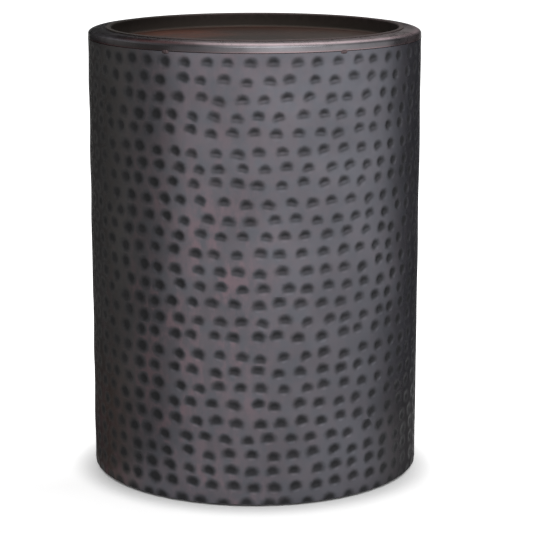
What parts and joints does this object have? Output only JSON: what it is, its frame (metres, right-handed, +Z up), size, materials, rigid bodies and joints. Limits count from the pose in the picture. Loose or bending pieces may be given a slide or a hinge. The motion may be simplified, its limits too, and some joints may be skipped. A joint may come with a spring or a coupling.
{
  "type": "side table",
  "caption": "Round drum side table in dark hammered sheet metal, with a smooth rounded rim, a flat ledge and a shallow sunken tray as its top.",
  "frame": {"origin": "on the floor below the drum's centre, at the level of the glides' undersides", "axes": "+Z up along the drum's axis, -Y towards the front, +X to the right seen from the front"},
  "size_m": [0.3416, 0.34, 0.4582],
  "materials": {
    "gunmetal_sheet": "satin",
    "gunmetal_rim": "satin",
    "tray_metal": "satin",
    "copper_tack": "satin",
    "weld_metal": "satin",
    "black_bar": "matte",
    "glide_plastic": "matte",
    "zinc_fastener": "satin"
  },
  "bodies": {
    "root": {"drum_wall": "gunmetal_sheet", "wall_seam_weld": "weld_metal", "rim_ring": "gunmetal_rim", "rim_tack_welds": "copper_tack", "tray_pan": "tray_metal", "pan_tack_welds": "weld_metal", "cross_bar": "black_bar", "cross_bar_half_front": "black_bar", "cross_bar_half_back": "black_bar", "cross_bar_welds": "weld_metal", "base_ring": "black_bar", "base_ring_welds": "weld_metal", "glide_front_left": "glide_plastic", "glide_front_right": "glide_plastic", "glide_back_left": "glide_plastic", "glide_back_right": "glide_plastic", "glide_studs": "zinc_fastener", "glide_washers": "zinc_fastener", "glide_nuts": "zinc_fastener"}
  },
  "joints": []
}
